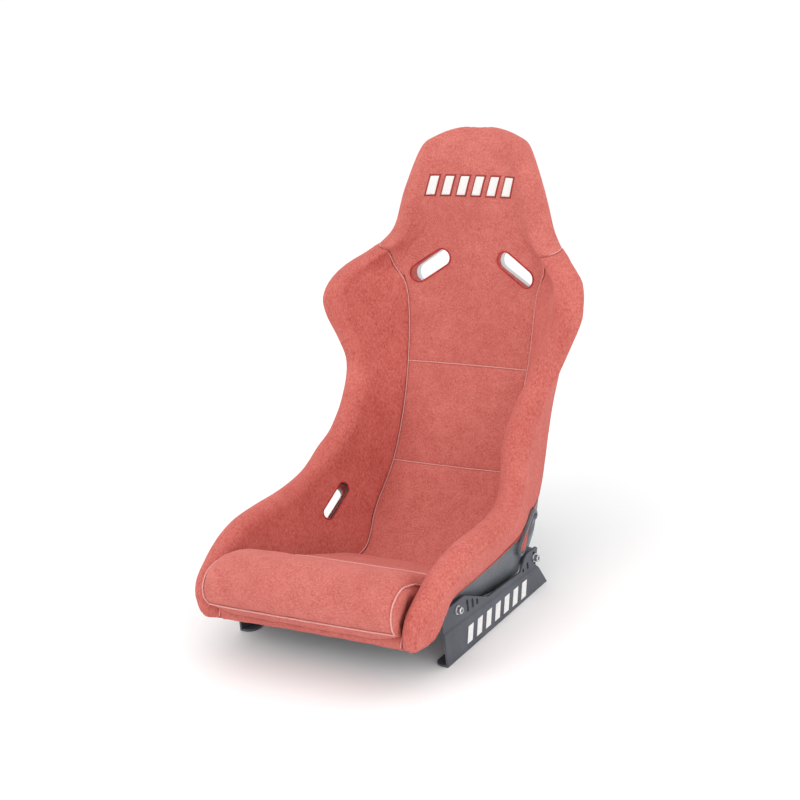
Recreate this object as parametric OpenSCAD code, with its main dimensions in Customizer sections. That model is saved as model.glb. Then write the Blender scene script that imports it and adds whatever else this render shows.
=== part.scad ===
// Fixed-back racing seat: laminated bucket shell, foam pads covered in velour,
// lift-out seat cushion, and slotted side brackets that bolt to the floor.
// Frame: origin on the floor at the centre of the four floor bolt holes,
// +X to the seat's left, -Y towards the knees, +Z up.

/* [Shell] */
// Thickness of the laminate
shell_t = 4; // [3:0.5:5]
// Clearance between the shell and what lies on it
gap = 0.3; // [0.2:0.1:0.6]
// Widest bend radius where the shell floor turns up into its side
knee_max = 36; // [25:1:45]

/* [Belt slots] */
// Half-width of a shoulder belt slot
shoulder_slot_r = 17.5; // [14:0.5:19]
// Distance between the two end arcs of a shoulder slot
shoulder_slot_run = 60; // [45:1:65]
// Tilt of the shoulder slots, inner ends high
shoulder_slot_tilt = 33; // [20:1:40]
// Half-width of a lap belt slot
lap_slot_r = 11; // [10:0.5:14]
// Distance between the two end arcs of a lap slot
lap_slot_run = 62; // [50:1:64]
// Rise of the lap slots towards the back
lap_slot_tilt = 34; // [25:1:40]

/* [Cushion] */
// Clear height under the lift-out cushion
cushion_base_h = 4.4; // [4:0.1:5]
// Thickness of one hook or loop strip
strip_t = 1.3; // [1:0.1:1.5]

/* [Side brackets] */
// Thickness of the bracket plate
plate_t = 4; // [3:0.5:5]
// Outer face of the lower plate, from the seat's centre plane
bracket_x = 229; // [226:1:232]
// Sideways step between the lower and the upper plate
joggle = 3; // [1:1:5]
// Width of the floor flange
flange_w = 30; // [28:1:40]
// Distance between the floor bolts, front to back
floor_bolt_dy = 300; // [280:5:320]
// Radius of a floor bolt hole
floor_hole_r = 4.5; // [4:0.1:5.5]
// Distance between the seat bolts, front to back
seat_bolt_dy = 290; // [285:1:292]

/* [Hidden] */

velour = [0.80, 0.33, 0.30];
laminate = [0.38, 0.40, 0.42];
dark_steel = [0.27, 0.28, 0.31];
zinc = [0.78, 0.78, 0.80];
black = [0.08, 0.08, 0.08];
paint = [0.93, 0.93, 0.93];

// Loft stations, from the front lip over the pan, the hip and the back to the top of the head.
// y, z: shell floor on the centre plane.  lean: angle of the section plane above level.
// crest_h, crest_w, crest_r: height, half-width and radius of the padded rim.
// seam_w: half-width of the centre panel.  knee_w: half-width of the shell floor.
// pad: thickness of the centre panel.  wrap: how far the cover goes down the outside.
// dish: how far the centre panel's sides stand in front of its middle.
STATIONS = [
  // y,   z, lean, crest_h, crest_w, crest_r, seam_w, knee_w, pad, wrap, dish
  [-272,  69,   8,   9, 219, 11, 195, 201,  6, 22, 5.5],
  [-268,  92,  35,  22, 223, 15, 197, 201,  6, 30, 5.5],
  [-242,  99,  78,  44, 230, 21, 196, 201,  5, 42, 5.5],
  [-150,  80,  94, 102, 234, 25, 190, 201,  5, 40, 5.5],
  [  10,  42,  93, 143, 231, 25, 168, 205,  6, 26,   5],
  [ 120,  26,  79, 177, 222, 25, 140, 208, 16, 31,   4],
  [ 212,  78,  65, 173, 209, 26, 156, 206, 22, 46,   5],
  [ 275, 168,  47, 138, 195, 27, 136, 197, 24, 73,   4],
  [ 335, 275,  26, 110, 194, 27, 131, 194, 24, 48,   4],
  [ 388, 380,   6,  99, 211, 27, 138, 196, 23, 31,   6],
  [ 425, 480,   1, 122, 256, 27, 144, 198, 20, 27,  15],
  [ 436, 522,  -1, 121, 261, 27, 152, 194, 19, 25,  20],
  [ 443, 556,  -2,  95, 245, 27, 158, 186, 20, 26,  20],
  [ 450, 590,  -2,  55, 193, 27, 142, 162, 22, 26,  13],
  [ 455, 625,   0,  28, 153, 26, 110, 130, 24, 20,   5],
  [ 463, 705,   0,  16, 127, 25,  88, 105, 25, 16,   3],
  [ 480, 777,   6,  10,  98, 22,  62,  76, 22, 14,   2],
  [ 489, 797,  12,   7,  75, 18,  46,  57, 18, 10, 1.5],
  [ 496, 810,  20,   4,  44, 12,  26,  32, 11,  6,   1],
  [ 500, 816,  28,   1,  14,  5,   6,   9,  4,  3,   0],
];
LAST = len(STATIONS) - 1;

// Station numbers where one piece ends and the next begins
lip_end = 1.2;
pan_seam = 4.65;
lower_seam = 7.0;
upper_seam = 8.83;
notch = 12.85;
shell_start = 0.25;
shell_end = 17.8;

// Share of the cover's path taken by the centre panel, the bolster's face and the rolled rim
FACE_FROM = 0.30;
RIM_FROM = 0.58;
WRAP_FROM = 0.86;
// Share of the shell's path taken by its flat floor
FLOOR_SHARE = 0.4;
// Columns of the shell's side, and of the cover over a bolster from its seam to its wrap's end
SIDE_Q = spread(FLOOR_SHARE, 1, 7);
BOLSTER_V = concat(spread(FACE_FROM, RIM_FROM, 6), after(spread(RIM_FROM, WRAP_FROM, 7)),
                   after(spread(WRAP_FROM, 1, 3)));
// Extra room outside the shell, where the cover's columns stand between the shell's own
chord_play = 0.9;

// First station, last station and number of steps of each panel, from the lip to the head.
// The shell and everything on it share these rows, so that their faces stay parallel.
PANELS = [
  [shell_start, lip_end, 2], [lip_end, pan_seam, 7], [pan_seam, lower_seam, 5],
  [lower_seam, upper_seam, 4], [upper_seam, notch, 8], [notch, shell_end, 11],
];
// Half of the slit between neighbouring panels
nick = 0.01;
function panel_rows(k) = spread(PANELS[k][0] + nick, PANELS[k][1] - nick, PANELS[k][2]);
function rows_over(first, last) = [for (k = [first : last]) each panel_rows(k)];

function between(a, b, t) = a + (b - a) * t;
function spread(a, b, n) = [for (i = [0 : n]) between(a, b, i / n)];
function after(list) = [for (i = [1 : len(list) - 1]) list[i]];
function clamp(v, low, high) = min(max(v, low), high);
function catmull(a, b, c, d, t) =
  0.5 * (2 * b + (c - a) * t + (2 * a - 5 * b + 4 * c - d) * t * t + (3 * b - a - 3 * c + d) * t * t * t);
function station(s) =
  let (i = clamp(floor(s), 0, LAST - 1), p = STATIONS)
  catmull(i > 0 ? p[i - 1] : 2 * p[0] - p[1], p[i], p[i + 1],
          i + 2 <= LAST ? p[i + 2] : 2 * p[LAST] - p[LAST - 1], s - i);

function crest(r) = [r[4], r[3]];
function on_crest(r, angle) = crest(r) + r[5] * [cos(angle), sin(angle)];
function seam_point(r) = [r[6], r[8] + r[10]];
function face_angle(r) =
  let (d = crest(r) - seam_point(r), run = norm(d))
  atan2(d[1], d[0]) + asin(min(r[5], 0.95 * run) / run) + 90;
// The rim ends level on a deep side and turns under where the side is shallow
function rim_end_angle(r) = -10 - 65 * clamp((70 - r[3]) / 50, 0, 1);

// Shell section: a flat floor, then a bend and a flaring side up to the edge inside the rim.
function knee(r) = min(knee_max, 0.9 * (r[7] - r[6]));
function shell_edge(r) = [r[4] + 0.5 * r[5], r[3]];
function bezier(a, b, c, d, t) =
  pow(1 - t, 3) * a + 3 * t * pow(1 - t, 2) * b + 3 * t * t * (1 - t) * c + pow(t, 3) * d;
function shell_line(r, q) =
  let (foot = [r[7] - knee(r), 0], edge = shell_edge(r))
  q <= FLOOR_SHARE ? foot * q / FLOOR_SHARE
  : bezier(foot, [r[7] + 4, 0], [between(r[7], edge[0], 0.3), 0.35 * edge[1]], edge,
           (q - FLOOR_SHARE) / (1 - FLOOR_SHARE));
function shell_tangent(r, q) =
  let (d = shell_line(r, min(q + 0.01, 1)) - shell_line(r, min(q + 0.01, 1) - 0.02)) d / norm(d);
// A positive offset lies outside the shell
function shell_point(r, q, offset) =
  let (t = shell_tangent(r, q)) shell_line(r, q) + offset * [t[1], -t[0]];
function wrap_share(r) =
  1 - (1 - FLOOR_SHARE) * min(0.8, r[9] / norm([shell_edge(r)[0] - r[7] + knee(r), r[3]]));

// Point on the cover, from the centre plane (v = 0) to the end of the wrap (v = 1)
function cover_point(r, v) =
  let (seam = seam_point(r), a = face_angle(r), e = rim_end_angle(r))
  v <= FACE_FROM ? [r[6] * v / FACE_FROM, r[8] + r[10] * pow(v / FACE_FROM, 2)]
  : v <= RIM_FROM ?
    let (t = (v - FACE_FROM) / (RIM_FROM - FACE_FROM), top = on_crest(r, a), hollow = 0.16 * norm(top - seam))
    between(seam, top, t) - hollow * t * (1 - t) * [cos(a), sin(a)]
  : v <= WRAP_FROM ? on_crest(r, between(a, e, (v - RIM_FROM) / (WRAP_FROM - RIM_FROM)))
  : between(on_crest(r, e), shell_point(r, wrap_share(r), shell_t + 3), (v - WRAP_FROM) / (1 - WRAP_FROM));

// Point on the shell side of a bolster: column j runs from the seam over the shell's edge
function behind_point(r, j) =
  let (n = len(SIDE_Q), lift = gap * shell_tangent(r, 1))
  j == 0 ? [r[6], gap]
  : j <= n ? shell_point(r, SIDE_Q[j - 1], -gap) + (j == n ? lift : [0, 0])
  : let (u = (j - n - 1) / (len(BOLSTER_V) - n - 2))
    shell_point(r, between(1, wrap_share(r), u), shell_t + gap + chord_play) + (1 - u) * lift;

// A section point stands in the plane that leans at the station
function place(r, p) = [p[0], r[0] - cos(r[2]) * p[1], r[1] + sin(r[2]) * p[1]];
function mirrored(p, side) = [side * p[0], p[1]];

// Solid between two sheets of points with the same numbers of rows and columns
module loft(front, back) {
  n = len(front[0]);
  m = len(front);
  k = m * n;
  function quad(a, b, c, d) = [[a, c, b], [a, d, c]];
  points = concat([for (row = front) each row], [for (row = back) each row]);
  faces = [
    for (i = [0 : m - 2]) for (j = [0 : n - 2]) let (a = i * n + j)
      each concat(quad(a, a + 1, a + n + 1, a + n), quad(k + a, k + a + n, k + a + n + 1, k + a + 1)),
    for (i = [0 : m - 2]) let (a = i * n, b = i * n + n - 1)
      each concat(quad(a, a + n, k + a + n, k + a), quad(b, k + b, k + b + n, b + n)),
    for (j = [0 : n - 2]) let (a = j, b = (m - 1) * n + j)
      each concat(quad(a, k + a, k + a + 1, a + 1), quad(b, b + 1, k + b + 1, k + b)),
  ];
  polyhedron(points, faces, convexity = 8);
}

function sheet(rows, columns, place_point) =
  [for (s = rows) let (r = station(s)) [for (c = columns) place(r, place_point(r, c))]];

function pad_point(r, c) = [c * (r[6] - 0.2), r[8] + r[10] * c * c];
module centre_pad(rows) {
  columns = spread(-1, 1, 10);
  loft(sheet(rows, columns, function (r, c) pad_point(r, c)),
       sheet(rows, columns, function (r, c) [pad_point(r, c)[0], gap]));
}

// side is 1 on the seat's left and -1 on its right
module bolster(side) {
  last = len(BOLSTER_V) - 1;
  columns = side > 0 ? [0 : last] : [last : -1 : 0];
  front = function (r, j) mirrored(cover_point(r, BOLSTER_V[j]), side);
  rows = concat([shell_start], rows_over(0, 4));
  loft(sheet(rows, columns, front), sheet(rows, columns, function (r, j) mirrored(behind_point(r, j), side)));
  nose_rows = [0, shell_start - nick];
  loft(sheet(nose_rows, columns, front),
       sheet(nose_rows, columns, function (r, j)
         mirrored(between([r[6], -shell_t], shell_point(r, wrap_share(r), shell_t + gap), j / last), side)));
}

module head_pad_solids() {
  flat = 4;
  last = len(BOLSTER_V) - 1;
  columns = [-flat - last : flat + last];
  front = function (r, c) let (j = abs(c) - flat)
    mirrored(cover_point(r, j < 0 ? FACE_FROM * abs(c) / flat : BOLSTER_V[j]), c < 0 ? -1 : 1);
  behind = function (r, c) let (j = abs(c) - flat)
    mirrored(j < 0 ? [r[6] * abs(c) / flat, gap] : behind_point(r, j), c < 0 ? -1 : 1);
  rows = concat(panel_rows(5), [shell_end]);
  loft(sheet(rows, columns, front), sheet(rows, columns, behind));
  crown_rows = spread(shell_end + nick, LAST, 4);
  loft(sheet(crown_rows, columns, front),
       sheet(crown_rows, columns, function (r, c)
         let (e = shell_point(r, wrap_share(r), shell_t + gap)) [c / (flat + last) * e[0], e[1]]));
}

// Flat strip that lies along the shell floor, between two heights above it
module floor_strip(from, to, x_from, x_to, low, high) {
  rows = spread(from, to, 6);
  columns = [x_from, x_to];
  loft(sheet(rows, columns, function (r, x) [x, high]), sheet(rows, columns, function (r, x) [x, low]));
}

module shell_loft() {
  rows = rows_over(0, 5);
  half = concat([FLOOR_SHARE / 2], SIDE_Q);
  columns = concat(-1 * [for (i = [len(half) - 1 : -1 : 0]) half[i]], [0], half);
  loft(sheet(rows, columns, function (r, c) mirrored(shell_point(r, abs(c), 0), c < 0 ? -1 : 1)),
       sheet(rows, columns, function (r, c) mirrored(shell_point(r, abs(c), shell_t), c < 0 ? -1 : 1)));
}

// Rounded slot shape: long axis X, depth along Z from low to high
module slot_shape(radius, run, low, high) {
  translate([0, 0, low]) {
    for (end = [-1, 1]) translate([end * run / 2, 0, 0]) cylinder(r = radius, h = high - low, $fn = 48);
    translate([-run / 2, -radius, 0]) cube([run, 2 * radius, high - low]);
  }
}

// Shoulder slots: local +Z leaves the padded face, z = 0 is the face of the shell
shoulder_slot_at = [97, 441, 546];
back_slope = 11.6;
// Behind the pad's front lip the slot widens into a duct
duct_r = shoulder_slot_r + 3.5;
duct_run = shoulder_slot_run + 2;
duct_depth = 12;
module at_shoulder_slot(side) {
  translate([side * shoulder_slot_at[0], shoulder_slot_at[1], shoulder_slot_at[2]])
    rotate([90 - back_slope, 0, 0]) rotate([0, 0, -side * shoulder_slot_tilt]) children();
}

// Lap slots: the belt's duct runs out of the seat, down and back, and local +Z follows it.
// Its rim stands on the shell's side, with local +Z along the rim's own axis.
lap_slot_at = [222, 136, 125];
lap_duct_dip = 29;
lap_duct_sweep = 37.5;
lap_duct_turn = 8;
lap_rim_dip = 10;
lap_rim_sweep = 8;
module at_lap_slot(side, dip, sweep, tilt) {
  mirror([side < 0 ? 1 : 0, 0, 0])
    translate(lap_slot_at) rotate([0, dip, sweep]) rotate([90, 0, 90]) rotate([0, 0, tilt]) children();
}
module at_lap_duct(side) {
  at_lap_slot(side, lap_duct_dip, lap_duct_sweep, lap_slot_tilt + lap_duct_turn) children();
}
module at_lap_rim(side) {
  at_lap_slot(side, lap_rim_dip, lap_rim_sweep, lap_slot_tilt) children();
}
lap_mouth_r = lap_slot_r + 2.5;
lap_boss_r = lap_slot_r + 6.5;
lap_boss_from = -2;
lap_boss_to = 4;
lap_flange_r = lap_slot_r + 8.5;
lap_flange_t = 3.5;
fit_play = 0.4;

// Bolts that carry the seat: y, z of the front and the rear one
bolt_r = 4;
front_bolt = [-135, 88];
rear_bolt = [front_bolt[0] + seat_bolt_dy, 64];
boss_r = 19;
boss_from = 201;
boss_to = 215;
insert_r = 8;
insert_from = 199;
play = 0.3;
upper_plate_in = bracket_x - joggle - plate_t;
upper_plate_out = upper_plate_in + plate_t;
washer_t = 1.6;
washer_r = 8.5;
head_r = 6.5;
head_h = 8;
running_play = 0.05;
spacer_r = 11;

module at_bolt(side, bolt) {
  mirror([side < 0 ? 1 : 0, 0, 0]) translate([0, bolt[0], bolt[1]]) rotate([0, 90, 0]) children();
}
module ring(outer, inner, low, high) {
  translate([0, 0, low]) difference() {
    cylinder(r = outer, h = high - low, $fn = 48);
    translate([0, 0, -1]) cylinder(r = inner, h = high - low + 2, $fn = 48);
  }
}
module rod(radius, low, high) {
  translate([0, 0, low]) cylinder(r = radius, h = high - low, $fn = 48);
}

module shell() {
  color(laminate) difference() {
    union() {
      shell_loft();
      for (side = [-1, 1]) {
        for (bolt = [front_bolt, rear_bolt]) at_bolt(side, bolt) rod(boss_r, boss_from, boss_to);
        at_lap_rim(side) slot_shape(lap_boss_r, lap_slot_run, lap_boss_from, lap_boss_to);
      }
    }
    for (side = [-1, 1]) {
      for (bolt = [front_bolt, rear_bolt]) at_bolt(side, bolt) rod(insert_r, insert_from - 6, boss_to + 1);
      at_lap_duct(side) slot_shape(lap_slot_r, lap_slot_run, -60, 40);
      at_lap_rim(side) slot_shape(lap_mouth_r, lap_slot_run, lap_boss_from + 3, lap_boss_to + 1);
      at_shoulder_slot(side) slot_shape(duct_r, duct_run, -20, 30);
    }
  }
}

module front_lip_pad() {
  color(velour) {
    centre_pad(concat([shell_start - nick], panel_rows(0)));
    rows = [0, shell_start];
    columns = spread(-1, 1, 10);
    loft(sheet(rows, columns, function (r, c) pad_point(r, c)),
         sheet(rows, columns, function (r, c) [pad_point(r, c)[0], -shell_t]));
  }
}
module lower_back_pad() {
  color(velour) centre_pad(panel_rows(2));
}
module middle_back_pad() {
  color(velour) centre_pad(panel_rows(3));
}
module upper_back_pad() {
  color(velour) difference() {
    centre_pad(panel_rows(4));
    for (side = [-1, 1]) at_shoulder_slot(side) {
      slot_shape(shoulder_slot_r, shoulder_slot_run, -20, 60);
      slot_shape(duct_r, duct_run, -20, duct_depth);
    }
  }
}
module head_pad() {
  color(velour) head_pad_solids();
}

module bolster_with_cuts(side) {
  color(velour) difference() {
    bolster(side);
    at_lap_duct(side) slot_shape(lap_slot_r + 1, lap_slot_run, -90, 60);
    at_lap_rim(side) slot_shape(lap_flange_r + 1, lap_slot_run, lap_boss_from - 2, 50);
    for (bolt = [front_bolt, rear_bolt]) at_bolt(side, bolt) rod(boss_r + 1, insert_from - 2, boss_to + 1);
  }
}
module bolster_left() {
  bolster_with_cuts(1);
}
module bolster_right() {
  bolster_with_cuts(-1);
}

// Bead along the lower edge of the cover, all the way round the rim
edging_r = 2;
module cover_edging() {
  sides = 6;
  color("darkred") for (side = [-1, 1]) {
    rows = spread(0.3, LAST - 1.6, 84);
    middle = [for (s = rows) let (r = station(s))
      place(r, mirrored(shell_point(r, wrap_share(r) - 0.035, shell_t + edging_r + 2 * gap), side))];
    rings = [for (i = [0 : len(rows) - 1])
      let (r = station(rows[i]), out = [side, 0, 0], up = place(r, [0, 1]) - place(r, [0, 0]))
      [for (k = [0 : sides - 1]) let (a = 360 * k / sides)
        middle[i] + edging_r * (cos(a) * out + side * sin(a) * up)]];
    n = len(rings);
    faces = concat(
      [for (i = [0 : n - 2]) for (k = [0 : sides - 1])
        let (a = i * sides + k, b = i * sides + (k + 1) % sides)
        each [[a, b + sides, b], [a, a + sides, b + sides]]],
      [[for (k = [0 : sides - 1]) k], [for (k = [sides - 1 : -1 : 0]) (n - 1) * sides + k]]);
    difference() {
      polyhedron([for (ring_points = rings) each ring_points], faces, convexity = 6);
      at_lap_rim(side) slot_shape(lap_flange_r + 0.4, lap_slot_run, lap_boss_from - 6, 30);
    }
  }
}

// Cushion rows: station number, height above the floor, half-width at the foot and at the top
CUSHION = [
  [0.80,  46, 190, 200],
  [1.00,  70, 192, 206],
  [1.25,  88, 192, 208],
  [1.60, 101, 192, 208],
  [2.00, 104, 192, 208],
  [2.50,  92, 189, 204],
  [3.00,  69, 186, 195],
  [3.50,  51, 179, 184],
  [4.00,  40, 166, 170],
  [4.30,  36, 156, 159],
  [4.50,  30, 149, 151],
  [4.58,  22, 146, 146],
];
// The space that the front lip takes under the cushion
module over_lip() {
  rows = concat(panel_rows(0), [lip_end + 0.015]);
  columns = spread(-1, 1, 10);
  loft(sheet(rows, columns, function (r, c) pad_point(r, c) + [8 * c, 0.6]),
       sheet(rows, columns, function (r, c) [pad_point(r, c)[0] + 8 * c, -5]));
}
module seat_cushion() {
  columns = spread(-1, 1, 16);
  corner = 5;
  reach = 0.985;
  function crown(c) = pow(1 - pow(abs(reach * c), corner), 1 / corner);
  color(velour) difference() {
    loft(
      [for (row = CUSHION) let (r = station(row[0])) [for (c = columns)
        place(r, [c * between(row[2], row[3], crown(c)), between(cushion_base_h + 2, row[1], crown(c))])]],
      [for (row = CUSHION) let (r = station(row[0]))
        [for (c = columns) place(r, [c * row[2], cushion_base_h])]]);
    over_lip();
  }
}

strip_x = 60;
strip_half_w = 25;
module strips(low) {
  for (side = [-1, 1])
    floor_strip(1.6, 3.6, side * strip_x - strip_half_w, side * strip_x + strip_half_w, low, low + strip_t);
}
module hook_strips() {
  color(black) strips(gap);
}
module loop_strips() {
  color(black) strips(gap + strip_t + 0.3);
}

module shoulder_trim(side) {
  wall = 2;
  color(laminate) at_shoulder_slot(side) difference() {
    union() {
      slot_shape(duct_r - fit_play, duct_run, -shell_t - 3, duct_depth - 1);
      slot_shape(duct_r + 6, duct_run, -shell_t - 3, -shell_t - 0.8);
    }
    slot_shape(duct_r - fit_play - wall, duct_run, -30, 30);
  }
}
module shoulder_trim_left() {
  shoulder_trim(1);
}
module shoulder_trim_right() {
  shoulder_trim(-1);
}

module lap_bezel(side) {
  color(laminate) difference() {
    at_lap_rim(side) {
      slot_shape(lap_flange_r, lap_slot_run, lap_boss_to + 0.2, lap_boss_to + lap_flange_t);
      slot_shape(lap_flange_r - 2, lap_slot_run, lap_boss_to + lap_flange_t, lap_boss_to + lap_flange_t + 1.5);
    }
    at_lap_duct(side) slot_shape(lap_slot_r, lap_slot_run, -30, 60);
    at_lap_rim(side) slot_shape(lap_mouth_r, lap_slot_run, 0, 60);
  }
}
module lap_bezel_left() {
  lap_bezel(1);
}
module lap_bezel_right() {
  lap_bezel(-1);
}

module lap_collar(side) {
  wall = 1.6;
  color("firebrick") at_lap_duct(side) difference() {
    slot_shape(lap_slot_r + 0.6, lap_slot_run, -46, -20);
    slot_shape(lap_slot_r + 0.6 - wall, lap_slot_run, -60, 0);
  }
}
module lap_collar_left() {
  lap_collar(1);
}
module lap_collar_right() {
  lap_collar(-1);
}

module threaded_inserts() {
  color(zinc) for (side = [-1, 1]) for (bolt = [front_bolt, rear_bolt])
    at_bolt(side, bolt) ring(insert_r, bolt_r + running_play, insert_from, boss_to);
}
module spacers(bolt) {
  color("dimgray") for (side = [-1, 1])
    at_bolt(side, bolt) ring(spacer_r, bolt_r + running_play, boss_to + play, upper_plate_in - play);
}
module front_spacers() {
  spacers(front_bolt);
}
module rear_spacers() {
  spacers(rear_bolt);
}
module washers(bolt) {
  low = upper_plate_out + play;
  color(zinc) for (side = [-1, 1]) at_bolt(side, bolt)
    ring(washer_r, bolt_r + running_play, low, low + washer_t);
}
module front_washers() {
  washers(front_bolt);
}
module rear_washers() {
  washers(rear_bolt);
}
module bolts(bolt) {
  low = upper_plate_out + play + washer_t;
  socket_r = 3.4;
  socket_depth = 4;
  color(zinc) for (side = [-1, 1]) at_bolt(side, bolt) difference() {
    union() {
      rod(bolt_r, insert_from + 2, low + 1);
      rod(head_r, low, low + head_h - 0.8);
      translate([0, 0, low + head_h - 0.8]) cylinder(r1 = head_r, r2 = head_r - 0.8, h = 0.8, $fn = 48);
    }
    translate([0, 0, low + head_h - socket_depth]) cylinder(r = socket_r, h = socket_depth + 1, $fn = 6);
  }
}
module front_bolts() {
  bolts(front_bolt);
}
module rear_bolts() {
  bolts(rear_bolt);
}

// Side bracket. Its outline is drawn in y and z, its fold lines slope down to the back.
bend_slope = -3.3;
bend_front_z = 60;
slot_r = bolt_r + 0.4;
travel = 4;
seat_tilt = 0.8;
flange_corner_r = 18;
bracket_front = -190;
bracket_rear = 190;
function bend_z(y) = bend_front_z + tan(bend_slope) * (y - bracket_front);
// Spare bolt slots beside the bolts in use: y, lowest z, highest z
SPARE_SLOTS = [[-99, 68, 92], [-81, 68, 86], [-65, 67, 79], [128, 52, 66], [110, 53, 61]];

module bracket_outline() {
  polygon([
    [bracket_front, 0], [bracket_front + 2, 92], [bracket_front + 20, 103.5], [-112, 103.5], [-104, 102],
    [-26, 64], [98, 58], [121, 79], [127, 82], [166, 82], [171, 78], [158, 50], [bracket_rear, 0],
  ]);
}
module bracket_profile() {
  inner = bracket_x - plate_t;
  polygon([
    [inner, -1], [inner, 0], [inner, bend_front_z], [inner - joggle, bend_front_z + joggle],
    [inner - joggle, 140], [inner - joggle + plate_t, 140],
    [inner - joggle + plate_t, bend_front_z + joggle + 0.41 * plate_t],
    [bracket_x, bend_front_z + 0.41 * plate_t], [bracket_x, -40], [inner, -40],
  ]);
}
module upright_slot(y, low, high, radius) {
  translate([0, y, 0]) rotate([0, 90, 0]) {
    for (z = [low + radius, high - radius]) translate([-z, 0, 180]) cylinder(r = radius, h = 70, $fn = 32);
    translate([-(high - radius), -radius, 180]) cube([high - low - 2 * radius, 2 * radius, 70]);
  }
}
module bracket(side) {
  front_reach = travel + 0.3 + slot_r;
  rear_reach = travel + seat_bolt_dy * sin(seat_tilt) + 0.3 + slot_r;
  color(dark_steel) mirror([side < 0 ? 1 : 0, 0, 0]) difference() {
    union() {
      intersection() {
        translate([0, bracket_front, 0]) rotate([bend_slope, 0, 0]) translate([0, -40, 0])
          rotate([90, 0, 180]) mirror([1, 0, 0]) linear_extrude(height = 480) bracket_profile();
        translate([180, 0, 0]) rotate([90, 0, 90]) linear_extrude(height = 60) bracket_outline();
      }
      difference() {
        translate([bracket_x - flange_w, bracket_front, 0])
          cube([flange_w - plate_t / 2, bracket_rear - bracket_front - 8, plate_t]);
        for (end = [0, 1]) translate([bracket_x - flange_w, end == 0 ? bracket_front : bracket_rear - 8, -1])
          mirror([0, end, 0]) difference() {
            translate([-1, -1, 0]) cube([flange_corner_r + 1, flange_corner_r + 1, plate_t + 2]);
            translate([flange_corner_r, flange_corner_r, -1])
              cylinder(r = flange_corner_r, h = plate_t + 4, $fn = 48);
          }
      }
    }
    upright_slot(front_bolt[0], front_bolt[1] - front_reach, front_bolt[1] + front_reach, slot_r);
    upright_slot(rear_bolt[0], rear_bolt[1] - rear_reach, rear_bolt[1] + rear_reach, slot_r);
    for (slot = SPARE_SLOTS) upright_slot(slot[0], slot[1], slot[2], slot_r * 0.8);
    for (end = [-1, 1]) translate([floor_bolt_x, end * floor_bolt_dy / 2, -1])
      cylinder(r = floor_hole_r, h = plate_t + 2, $fn = 48);
  }
}
floor_bolt_x = bracket_x - flange_w / 2 - 2;
module bracket_left() {
  bracket(1);
}
module bracket_right() {
  bracket(-1);
}

// Row of slanted painted bars on the lower plate
module bracket_stripes(side) {
  count = 7;
  pitch = 34;
  bar_w = 18;
  bar_h = 30;
  slant = 10;
  first_y = -118;
  color(paint) mirror([side < 0 ? 1 : 0, 0, 0]) translate([bracket_x + 0.05, 0, 0])
    rotate([90, 0, 90]) linear_extrude(height = 0.6) for (i = [0 : count - 1])
      translate([first_y + i * pitch, 13 - 0.9 * i])
        polygon([[0, 0], [bar_w, 0], [bar_w + slant, bar_h], [slant, bar_h]]);
}
module bracket_stripes_left() {
  bracket_stripes(1);
}
module bracket_stripes_right() {
  bracket_stripes(-1);
}

shell();
front_lip_pad();
lower_back_pad();
middle_back_pad();
upper_back_pad();
head_pad();
bolster_left();
bolster_right();
cover_edging();
seat_cushion();
hook_strips();
loop_strips();
shoulder_trim_left();
shoulder_trim_right();
lap_bezel_left();
lap_bezel_right();
lap_collar_left();
lap_collar_right();
threaded_inserts();
front_spacers();
rear_spacers();
bracket_left();
bracket_right();
front_bolts();
rear_bolts();
front_washers();
rear_washers();
bracket_stripes_left();
bracket_stripes_right();
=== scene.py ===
"""Racing seat: velour pads, bolsters, cushion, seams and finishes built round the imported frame."""
import math

import bmesh
import bpy
import numpy as np
from mathutils import Matrix, Vector, noise
from mathutils.bvhtree import BVHTree
from mathutils.kdtree import KDTree


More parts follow.
